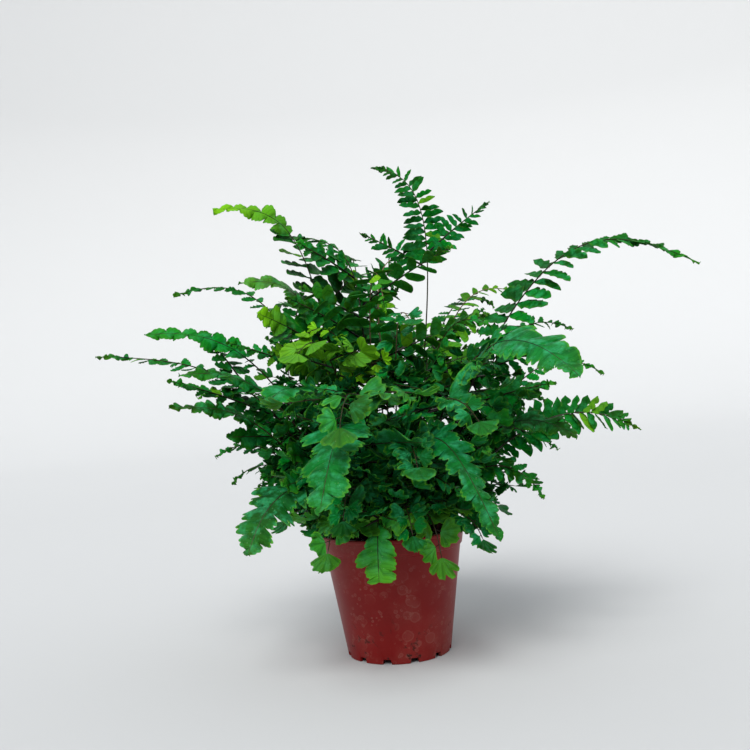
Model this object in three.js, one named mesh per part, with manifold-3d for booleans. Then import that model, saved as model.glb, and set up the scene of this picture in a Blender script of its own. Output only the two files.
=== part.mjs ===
// A potted maidenhair-type fern: a thin round nursery pot with a notched foot, its soil, the scaly crown,
// and one solid for each frond. Millimetres, +Z up. The origin is the centre of the pot's base, where it
// stands. Azimuths are seen from above, in degrees from +X towards +Y.
import * as THREE from "three";
import { mergeVertices } from "three/addons/utils/BufferGeometryUtils.js";
import Module from "manifold-3d";

// --- Driving dimensions --------------------------------------------------------------------------------
const GAP = 0.35; // between touching pieces
const ROUND = 36; // facets around the pot
const CROWN_ROUND = 24; // facets around the crown
const DRAIN_ROUND = 8; // facets around a drain hole

const POT = {
  height: 50,
  rimRadius: 30,
  bandHeight: 7, // the plain band under the rim
  bandStep: 0.7, // how far the band stands proud of the wall
  footRadius: 21,
  wall: 1,
  lip: 0.5, // how far the lip stands proud of the band
  lipHeight: 1.1,
  lipRound: 0.3, // bevel on the lip's top edge
  footHeight: 2.6, // from the ground to the raised floor
  footRing: 1.6, // thickness of the ring it stands on
  bossRadius: 9, // flat middle of the floor, which touches the ground
};
const NOTCH = { count: 12, width: 3.6, height: 2, flare: 0.6 }; // through the foot ring, wider at the ground
const DRAIN = { count: 6, radius: 2, circle: 14.8 }; // circle: radius of the ring of holes
const SOIL = { edge: 44.5, middle: 46 }; // heights of the soil's surface
const CROWN = { radius: 17, height: 4.5 };
const FROND = {
  stalkRadius: 0.5,
  tipRadius: 0.3,
  bladeThickness: 0.6,
  stalkSteps: 5,
  ribSteps: 12,
  startWidth: 0.5, // share of the full width where the blade starts
  widening: 2.5, // how fast it reaches the full width
  taper: 0.55, // how bluntly the blade narrows to its tip
  notch: 0.2, // share of the width left between two leaflets of a feathery blade
  sinus: 0.6, // the same between two lobes of a broad blade
  ribTaper: 0.4, // how much thinner the rib is at the tip of the blade, as a share
  bladeTaper: 0.3, // the same for the blade's thickness
  armSag: 0.1, // how far the arms of a forked frond hang, as a share of their length
  armWidth: 0.8, // width of an arm's blade against the main one
  armPairs: 0.6, // and its pairs of leaflets
};

// --- Small helpers -------------------------------------------------------------------------------------
const wasm = await Module();
wasm.setup();

const radians = THREE.MathUtils.degToRad;
const outward = (azimuth) => new THREE.Vector3(Math.cos(radians(azimuth)), Math.sin(radians(azimuth)), 0);
const UP = new THREE.Vector3(0, 0, 1);

function solid(geometry) {
  const bare = geometry.clone();
  bare.deleteAttribute("normal");
  bare.deleteAttribute("uv");
  const merged = mergeVertices(bare, 1e-4);
  return new wasm.Manifold(
    new wasm.Mesh({
      numProp: 3,
      vertProperties: merged.attributes.position.array,
      triVerts: new Uint32Array(merged.index.array),
    }),
  );
}

function geometryOf(manifold) {
  const mesh = manifold.getMesh();
  const geometry = new THREE.BufferGeometry();
  geometry.setAttribute("position", new THREE.BufferAttribute(new Float32Array(mesh.vertProperties), 3));
  geometry.setIndex(new THREE.BufferAttribute(new Uint32Array(mesh.triVerts), 1));
  geometry.computeVertexNormals();
  return geometry;
}

// A solid of revolution about Z from [radius, height] pairs, listed anticlockwise in that plane.
function turned(profile, facets) {
  const points = profile.map(([radius, height]) => new THREE.Vector2(radius, height));
  return new THREE.LatheGeometry(points, facets).rotateX(Math.PI / 2);
}

const group = new THREE.Group();

function addPiece(name, geometry, material) {
  const mesh = new THREE.Mesh(geometry, material);
  mesh.name = name;
  group.add(mesh);
}

// --- Materials -----------------------------------------------------------------------------------------
const plastic = new THREE.MeshStandardMaterial({ color: 0x7c2a22, roughness: 0.5, metalness: 0 });
const peat = new THREE.MeshStandardMaterial({ color: 0x1c130d, roughness: 0.95, metalness: 0 });
const scales = new THREE.MeshStandardMaterial({ color: 0x2f1d12, roughness: 0.9, metalness: 0 });
const green = (color) => new THREE.MeshStandardMaterial({ color, roughness: 0.55, metalness: 0 });
const GREENS = {
  feather: green(0x1d6b2a),
  forked: green(0x1b6327),
  lobed: green(0x3f8f35),
  fan: green(0x2a7a34),
};

// --- Pot -----------------------------------------------------------------------------------------------
const bandBottom = POT.height - POT.bandHeight;
const slope = (POT.rimRadius - POT.lip - POT.bandStep - POT.footRadius) / POT.height;
const wallRadius = (height) => POT.footRadius + slope * height;

function potGeometry() {
  const { height, wall, lip, lipHeight, lipRound, bandStep, footHeight, footRing, bossRadius, rimRadius } = POT;
  const floorTop = footHeight + wall;
  const channel = POT.footRadius - footRing;
  const outside = [
    [0, 0],
    [bossRadius, 0],
    [bossRadius + 1.5, footHeight],
    [channel, footHeight],
    [channel + 0.3, 0],
    [POT.footRadius, 0],
    [wallRadius(1.2) + 0.35, 1.2],
    [wallRadius(bandBottom), bandBottom],
    [wallRadius(bandBottom) + bandStep, bandBottom + 0.5],
    [rimRadius - lip, height - lipHeight - 0.3],
    [rimRadius, height - lipHeight],
    [rimRadius, height - lipRound],
    [rimRadius - lipRound, height],
  ];
  const inside = [
    [rimRadius - lip - wall, height],
    [wallRadius(bandBottom) + bandStep - wall, bandBottom + 0.5],
    [wallRadius(bandBottom) - wall, bandBottom],
    [wallRadius(floorTop) - wall, floorTop],
    [bossRadius + 1, floorTop],
    [bossRadius - 0.5, wall],
    [0, wall],
  ];
  let pot = solid(turned([...outside, ...inside], ROUND));
  for (let i = 0; i < NOTCH.count; i++) {
    pot = pot.subtract(solid(notchCutter(((i + 0.5) / NOTCH.count) * 360)));
  }
  for (let i = 0; i < DRAIN.count; i++) {
    const centre = outward(((i + 0.5) / DRAIN.count) * 360).multiplyScalar(DRAIN.circle);
    const drill = new THREE.CylinderGeometry(DRAIN.radius, DRAIN.radius, 3 * floorTop, DRAIN_ROUND);
    drill.rotateX(Math.PI / 2).translate(centre.x, centre.y, footHeight);
    pot = pot.subtract(solid(drill));
  }
  return geometryOf(pot);
}

// A trapezium through the foot ring at an azimuth, wider at the ground.
function notchCutter(azimuth) {
  const bottom = NOTCH.width / 2 + NOTCH.flare;
  const top = NOTCH.width / 2 - NOTCH.flare;
  const shape = new THREE.Shape();
  shape.moveTo(-bottom, -1);
  shape.lineTo(bottom, -1);
  shape.lineTo(top, NOTCH.height);
  shape.lineTo(-top, NOTCH.height);
  shape.closePath();
  const reach = 8;
  const cutter = new THREE.ExtrudeGeometry(shape, { depth: reach, bevelEnabled: false });
  cutter.rotateX(Math.PI / 2).rotateZ(Math.PI / 2).translate(POT.footRadius - reach / 2, 0, 0);
  return cutter.rotateZ(radians(azimuth));
}

// --- Soil and crown ------------------------------------------------------------------------------------
function soilGeometry() {
  const floor = POT.footHeight + POT.wall + GAP;
  const radiusAt = (height) => wallRadius(height) - POT.wall - GAP;
  const profile = [
    [0, floor],
    [radiusAt(floor), floor],
    [radiusAt(bandBottom - 1), bandBottom - 1],
    [radiusAt(bandBottom - 1), SOIL.edge],
    [CROWN.radius, SOIL.middle],
    [0, SOIL.middle],
  ];
  return turned(profile, ROUND);
}

function crownHeight(radius) {
  const share = radius / (CROWN.radius + 0.01);
  return SOIL.middle + GAP + CROWN.height * Math.sqrt(Math.max(0, 1 - share ** 2));
}

function crownGeometry() {
  const profile = [[0, SOIL.middle + GAP]];
  const steps = 6;
  for (let i = 0; i <= steps; i++) {
    const radius = CROWN.radius * Math.cos(((i / steps) * Math.PI) / 2);
    profile.push([i === steps ? 0 : radius, crownHeight(radius)]);
  }
  return turned(profile, CROWN_ROUND);
}

// --- Fronds --------------------------------------------------------------------------------------------
// One row for each frond, going round the plant. Lengths in mm, angles in degrees:
//   name, kind    "feather" has two rows of leaflets, "forked" is a feather with two side branches,
//                 "lobed" is a broad blade cut into lobes, "fan" carries a few large fan-shaped leaflets
//   foot          radius and azimuth of its foot on the crown
//   rise          angle above the horizontal at which the stalk leaves the crown
//   tip           where the frond ends
//   droop         angle below the horizontal at the tip
//   stalk         share of the rib that carries no blade
//   half, pairs   half-width of the blade, and its pairs of leaflets or lobes
//   roll          turn of the blade about its rib
//   more          pull: how far the foot and the tip each hold their own direction, as shares of the chord;
//                 lean and out: azimuths of the stalk at the foot and of the rib at the tip
const FRONDS = [
  // right side
  ["right_arching", "feather", [9, 5], 66, [132, -5, 149], 28, 0.4, 12, 20, 50, { pull: [0.88, 0.3] }],
  ["right_behind", "feather", [13, 20], 60, [86, 30, 127], 25, 0.48, 8, 14, 40, {}],
  ["right_light", "feather", [9, 40], 74, [63, 25, 144], 22, 0.55, 7, 12, 40, {}],
  ["right_light_low", "feather", [12, 60], 70, [48, 42, 128], 25, 0.55, 8, 12, 20, {}],
  ["right_inner", "feather", [6, -20], 76, [44, -24, 128], 35, 0.52, 9, 10, 35, {}],
  ["right_broad", "lobed", [9, -42], 68, [66, -72, 108], 42, 0.62, 10, 8, 30, { pull: [0.75, 0.4] }],
  ["right_slender", "feather", [14, -3], 58, [89, -10, 107], 38, 0.48, 6, 14, 45, {}],
  ["right_feather", "feather", [15, -18], 52, [101, -14, 84], 36, 0.42, 9, 20, 65, { pull: [0.55, 0.35] }],
  ["right_under", "lobed", [12, -30], 58, [70, -42, 85], 36, 0.5, 8, 8, 25, {}],
  ["right_forked", "forked", [15, 8], 50, [73, 14, 76], 42, 0.45, 7, 10, 50, {}],
  ["right_hanging", "feather", [15, -46], 56, [58, -32, 62], 62, 0.4, 9, 9, 40,
    { pull: [0.6, 0.5], lean: -38 }],
  ["right_low_back", "feather", [14, 35], 52, [76, 44, 94], 38, 0.45, 9, 14, 20, {}],
  ["right_rim", "fan", [16, 2], 52, [44, 4, 56], 55, 0.42, 8, 5, 20, {}],
  ["right_rim_back", "fan", [16, 48], 50, [37, 38, 53], 58, 0.42, 8, 5, 0, {}],
  // front
  ["front_right_long", "lobed", [11, -88], 66, [36, -70, 54], 70, 0.34, 7, 14, 45,
    { pull: [0.95, 0.6], out: -5 }],
  ["front_rounded", "fan", [6, -62], 74, [32, -70, 94], 45, 0.7, 9, 2, 10, {}],
  ["front_palmate", "fan", [8, -108], 74, [-15, -86, 96], 52, 0.72, 11, 2, 0, {}],
  ["front_broad", "lobed", [13, -112], 62, [-23, -91, 70], 68, 0.5, 11, 7, 0, { pull: [0.8, 0.5], out: -125 }],
  ["front_left_broad", "lobed", [14, -140], 58, [-52, -52, 52], 66, 0.42, 11, 8, -15, { pull: [0.65, 0.5] }],
  ["front_over_rim", "lobed", [15, -97], 54, [-6, -56, 40], 84, 0.62, 8, 4, 0, { pull: [0.7, 0.6] }],
  ["front_rim_left", "fan", [16, -128], 50, [-24, -43, 50], 64, 0.5, 10, 2, 0, { pull: [0.6, 0.5] }],
  ["front_rim_right", "fan", [16, -70], 52, [17, -46, 46], 76, 0.5, 10, 2, 0, { pull: [0.65, 0.6] }],
  ["front_fan_left", "fan", [13, -122], 60, [-17, -60, 63], 62, 0.5, 9, 5, 0, {}],
  ["front_fan_middle", "fan", [13, -84], 58, [7, -52, 55], 66, 0.45, 8, 5, 0, {}],
  ["front_fan_right", "fan", [15, -52], 54, [33, -40, 50], 66, 0.42, 8, 6, 0, {}],
  ["front_dark_right", "lobed", [11, -58], 64, [30, -54, 70], 58, 0.5, 8, 6, 0, {}],
  ["front_middle", "fan", [9, -80], 68, [10, -66, 80], 55, 0.55, 9, 6, 0, {}],
  // middle
  ["top_forked", "forked", [8, 20], 81, [2, 15, 201], -8, 0.67, 9, 14, 85,
    { pull: [0.66, 0.22], lean: 10, out: 172 }],
  ["centre_arching", "feather", [3, -120], 86, [3, -44, 135], 62, 0.5, 10, 11, 0,
    { pull: [0.95, 0.5], lean: 200 }],
  ["centre_behind", "feather", [6, 80], 84, [18, 22, 162], 10, 0.6, 7, 10, 60, {}],
  ["centre_fans", "fan", [5, -50], 80, [12, -40, 132], 35, 0.6, 8, 5, 0, {}],
  ["centre_young", "fan", [4, -170], 80, [-28, -30, 130], 25, 0.66, 6, 5, -15, {}],
  ["centre_bright", "fan", [8, -150], 74, [-30, -48, 122], 38, 0.76, 10, 2, -10, {}],
  ["centre_left", "lobed", [10, -128], 68, [-42, -54, 104], 45, 0.62, 9, 6, -10, {}],
  // left side
  ["left_tall", "feather", [7, 170], 79, [-64, 0, 185], 4, 0.46, 13, 17, -40, { pull: [0.72, 0.3] }],
  ["left_upper", "lobed", [8, -178], 74, [-54, -12, 153], 8, 0.58, 8, 7, -30, {}],
  ["left_inner", "feather", [6, 110], 84, [-38, 12, 173], 0, 0.54, 10, 14, -35, { pull: [0.75, 0.35] }],
  ["left_behind", "feather", [9, 150], 70, [-87, 22, 153], 14, 0.46, 8, 16, -40, { pull: [0.6, 0.4] }],
  ["left_lobed", "lobed", [12, 178], 66, [-96, 2, 136], 2, 0.42, 6, 12, -40, {}],
  ["left_long", "feather", [13, -170], 60, [-114, -8, 128], -4, 0.4, 9, 18, -45, { pull: [0.5, 0.5] }],
  ["left_dark", "lobed", [12, -158], 62, [-77, -28, 118], 4, 0.42, 6, 12, -25, {}],
  ["left_low", "lobed", [14, -152], 54, [-80, -36, 106], 0, 0.4, 6, 13, -30, {}],
  ["left_narrow", "feather", [15, 172], 52, [-70, 0, 84], 32, 0.42, 8, 12, -40, {}],
  ["left_thin", "feather", [15, 155], 50, [-69, 32, 69], 45, 0.42, 7, 12, -30, {}],
  ["left_low_back", "feather", [13, 140], 58, [-84, 46, 108], 20, 0.45, 9, 15, -20, {}],
  ["left_rim", "fan", [16, -172], 52, [-42, -8, 57], 55, 0.42, 8, 5, -20, {}],
  ["left_rim_back", "fan", [16, 132], 50, [-36, 38, 52], 58, 0.42, 8, 5, 0, {}],
  // back
  ["back_right", "feather", [9, 65], 70, [58, 76, 142], 25, 0.46, 10, 16, 0, {}],
  ["back_tall", "feather", [6, 130], 80, [-12, 52, 163], 25, 0.5, 9, 14, 0, {}],
  ["back_middle", "feather", [10, 95], 68, [2, 100, 140], 28, 0.45, 10, 18, 0, {}],
  ["back_left", "feather", [10, 120], 70, [-52, 78, 146], 22, 0.46, 10, 16, 0, {}],
  ["back_low_right", "lobed", [14, 60], 56, [46, 72, 92], 42, 0.48, 9, 8, 0, {}],
  ["back_low_middle", "lobed", [14, 88], 56, [4, 86, 84], 48, 0.48, 10, 8, 0, {}],
  ["back_low_left", "lobed", [14, 118], 56, [-44, 68, 82], 48, 0.48, 9, 8, 0, {}],
  ["back_rim_right", "lobed", [16, 74], 54, [20, 50, 46], 72, 0.45, 8, 5, 0, { pull: [0.65, 0.5] }],
  ["back_rim_left", "lobed", [16, 104], 54, [-16, 54, 44], 74, 0.45, 8, 5, 0, { pull: [0.65, 0.5] }],
];
const PULL = [0.6, 0.35];
// The arms of a forked frond: where on the blade they leave, how far they turn, and their length against it.
const ARMS = [
  { share: 0.02, turn: 55, size: 0.62 },
  { share: 0.05, turn: -50, size: 0.66 },
];

const azimuthOf = (vector) => THREE.MathUtils.radToDeg(Math.atan2(vector.y, vector.x));

// The rib of a frond, a cubic arch from the crown to the tip.
function ribOf([, , [footRadius, footAzimuth], rise, tipPlace, droop, , , , , more]) {
  const foot = outward(footAzimuth).multiplyScalar(footRadius);
  foot.z = crownHeight(footRadius) + GAP;
  const tip = new THREE.Vector3(...tipPlace);
  const chord = tip.clone().sub(foot);
  const pull = more.pull ?? PULL;
  const start = outward(more.lean ?? azimuthOf(chord)).multiplyScalar(Math.cos(radians(rise)));
  start.z = Math.sin(radians(rise));
  const end = outward(more.out ?? azimuthOf(chord)).multiplyScalar(Math.cos(radians(droop)));
  end.z = -Math.sin(radians(droop));
  return new THREE.CubicBezierCurve3(
    foot,
    foot.clone().addScaledVector(start, pull[0] * chord.length()),
    tip.clone().addScaledVector(end, -pull[1] * chord.length()),
    tip,
  );
}

// Place, rib direction, and the blade's sideways and upward directions, at a share t of the rib's length.
function frameOn({ curve, azimuth, roll }, t) {
  const along = curve.getTangentAt(t);
  const across = outward(azimuth - 90);
  across.addScaledVector(along, -across.dot(along)).normalize();
  across.applyAxisAngle(along, radians(roll));
  return { at: curve.getPointAt(t), along, across, over: across.clone().cross(along) };
}

// The roll that turns a level blade along `heading` until its face looks along `over`.
function rollTo(over, heading) {
  const level = outward(azimuthOf(heading) - 90).cross(heading).normalize();
  const turn = level.clone().cross(over).dot(heading);
  return THREE.MathUtils.radToDeg(Math.atan2(turn, level.dot(over)));
}

// The strands of a frond: its main rib, and the two arms of a forked one. Each is a curve with a blade on it.
function strandsOf(row) {
  const [, kind, , , , , stalk, half, pairs, roll, more] = row;
  const curve = ribOf(row);
  const azimuth = more.out ?? azimuthOf(curve.getPointAt(1).sub(curve.getPointAt(0)));
  const main = { curve, azimuth, roll, stalk, half, pairs, lobed: kind === "lobed" || kind === "fan" };
  if (kind !== "forked") return [main];
  const arms = ARMS.map(({ share, turn, size }) => {
    const { at, along, across, over } = frameOn(main, stalk + share * (1 - stalk));
    const length = curve.getLength() * (1 - stalk) * size;
    const heading = along.multiplyScalar(Math.cos(radians(turn)));
    heading.addScaledVector(across, Math.sin(radians(turn)));
    const end = at.clone().addScaledVector(heading, length).addScaledVector(UP, -FROND.armSag * length);
    const arm = new THREE.QuadraticBezierCurve3(at, at.clone().addScaledVector(heading, length / 2), end);
    const armRoll = rollTo(over, heading);
    return {
      curve: arm,
      azimuth: azimuthOf(heading),
      roll: armRoll,
      stalk: 0.1,
      half: half * FROND.armWidth,
      pairs: pairs * FROND.armPairs,
    };
  });
  return [main, ...arms];
}

// Widths of a blade along its rib, as shares: [u, left, right], u running from 0 at its foot to 1 at its tip.
function bladeStations({ lobed, pairs }) {
  const outline = (u) => Math.min(1, FROND.startWidth + FROND.widening * u) * (1 - u) ** FROND.taper;
  const teeth = lobed ? pairs : Math.ceil(pairs / 2);
  const stations = [];
  for (let i = 0; i < teeth; i++) {
    const steps = lobed
      ? [[0.05, FROND.sinus, FROND.sinus], [0.55, 1, 1]]
      : [[0.3, 1, FROND.notch], [0.8, FROND.notch, 1]];
    for (const [step, left, right] of steps) {
      const u = (i + step) / teeth;
      stations.push([u, left * outline(u), right * outline(u)]);
    }
  }
  return stations;
}

// A strand as a solid: a thin square rod that flattens into a toothed blade. `spare` is grown on every side.
function strap(strand, spare) {
  const { stalk, half } = strand;
  const rod = FROND.stalkRadius;
  const rings = [];
  for (let i = 0; i < FROND.stalkSteps; i++) rings.push([(i / FROND.stalkSteps) * stalk, rod, rod, rod]);
  for (const [u, left, right] of bladeStations(strand)) {
    const rachis = rod * (1 - FROND.ribTaper * u);
    const thick = (FROND.bladeThickness / 2) * (1 - FROND.bladeTaper * u);
    rings.push([stalk + u * (1 - stalk), Math.max(rachis, left * half), Math.max(rachis, right * half), thick]);
  }
  rings.push([1, FROND.tipRadius, FROND.tipRadius, FROND.tipRadius]);
  return tubeOf(strand, rings, spare);
}

// The bare rib of a strand.
function ribRod(strand, spare) {
  const rings = [];
  for (let i = 0; i <= FROND.ribSteps; i++) {
    const t = i / FROND.ribSteps;
    const radius = THREE.MathUtils.lerp(FROND.stalkRadius, FROND.tipRadius, t);
    rings.push([t, radius, radius, radius]);
  }
  return tubeOf(strand, rings, spare);
}

// A four-sided tube through rings of [t, left, right, half thickness].
function tubeOf(strand, rings, spare) {
  const tube = new THREE.CylinderGeometry(1, 1, 1, 4, rings.length - 1);
  const place = tube.attributes.position;
  const local = new THREE.Vector3();
  for (let i = 0; i < place.count; i++) {
    local.fromBufferAttribute(place, i);
    const [t, left, right, thick] = rings[Math.round((local.y + 0.5) * (rings.length - 1))];
    const { at, across, over } = frameOn(strand, t);
    at.addScaledVector(across, local.x * ((local.x > 0 ? right : left) + spare));
    at.addScaledVector(over, local.z * (thick + spare));
    place.setXYZ(i, at.x, at.y, at.z);
  }
  return solid(tube);
}

const joined = (solids) => solids.reduce((whole, next) => whole.add(next));
const larger = (a, b) => (b.volume() > a.volume() ? b : a);
const largest = (manifold) => manifold.decompose().reduce(larger);

function boxesMeet(a, b) {
  return [0, 1, 2].every((k) => a.min[k] < b.max[k] && b.min[k] < a.max[k]);
}

// Where two blades would cross, the later one gives way to the earlier, and the earlier lets its rib pass.
function growFronds() {
  const grown = [];
  for (const row of FRONDS) {
    const strands = strandsOf(row);
    const frond = {
      name: `frond_${row[0]}`,
      kind: row[1],
      body: joined(strands.map((strand) => strap(strand, 0))),
      clear: joined(strands.map((strand) => strap(strand, GAP))),
    };
    const ribs = joined(strands.map((strand) => ribRod(strand, 0)));
    const clearRibs = joined(strands.map((strand) => ribRod(strand, GAP)));
    for (const other of grown) {
      if (!boxesMeet(frond.body.boundingBox(), other.clear.boundingBox())) continue;
      if (frond.body.intersect(other.clear).isEmpty()) continue;
      frond.body = largest(frond.body.subtract(other.clear).add(ribs));
      other.body = largest(other.body.subtract(clearRibs));
    }
    grown.push(frond);
  }
  return grown;
}

for (const { name, kind, body } of growFronds()) addPiece(name, geometryOf(body), GREENS[kind]);

addPiece("pot", potGeometry(), plastic);
addPiece("soil", soilGeometry(), peat);
addPiece("crown", crownGeometry(), scales);

export default group;
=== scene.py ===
"""A potted maidenhair-type fern: pot, soil, crown and fronds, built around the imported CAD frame.

Tables and sizes are in millimetres and degrees, as in the CAD. Blender's objects are in metres.
"""

import math
import random
from collections import namedtuple

import bpy
import numpy as np
from mathutils import Matrix, Vector, noise


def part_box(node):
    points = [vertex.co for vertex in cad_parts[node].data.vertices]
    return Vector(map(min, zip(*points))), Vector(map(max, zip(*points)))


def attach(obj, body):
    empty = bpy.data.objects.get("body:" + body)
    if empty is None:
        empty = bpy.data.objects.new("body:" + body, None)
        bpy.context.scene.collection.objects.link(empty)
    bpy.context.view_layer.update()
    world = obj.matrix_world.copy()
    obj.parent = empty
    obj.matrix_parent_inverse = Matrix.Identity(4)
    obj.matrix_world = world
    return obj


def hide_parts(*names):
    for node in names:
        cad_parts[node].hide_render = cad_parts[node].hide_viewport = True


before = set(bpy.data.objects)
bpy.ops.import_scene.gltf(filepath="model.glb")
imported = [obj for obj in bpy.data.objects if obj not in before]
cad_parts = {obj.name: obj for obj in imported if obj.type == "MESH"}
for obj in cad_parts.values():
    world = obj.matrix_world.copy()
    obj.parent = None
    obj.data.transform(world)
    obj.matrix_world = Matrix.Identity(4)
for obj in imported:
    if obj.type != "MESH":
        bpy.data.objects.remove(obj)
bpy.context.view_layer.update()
MM = 0.001

# --- Driving dimensions, in mm --------------------------------------------------------------------
GAP = 0.35
POT_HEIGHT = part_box("pot")[1].z / MM
RIM_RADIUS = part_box("pot")[1].x / MM
FOOT_RADIUS = 21
BAND = {"height": 7, "step": 0.7}
WALL = 1
LIP = 0.5
FOOT_HEIGHT = 2.6
FOOT_RING = 1.6
BOSS_RADIUS = 9
NOTCHES = {"count": 12, "width": 3.6, "height": 2.0}
DRAINS = {"count": 6, "radius": 2, "circle": 14.8}
SOIL = {"edge": 44.5, "middle": 46}
CROWN = {"radius": 17, "height": 4.5, "scales": 420}
ARM = {"sag": 0.1, "stalk": 0.1, "width": 0.92, "forked_width": 0.78, "crowding": 0.9}
SPRAY = {"spacing": 9, "lowest": 6, "highest": 65, "length": (10, 22), "half": (6.0, 9.0), "sag": 0.12}
LEAF_THICKNESS = 0.28
TOOTH = 2.0  # length of a tooth along a lobed blade

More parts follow.
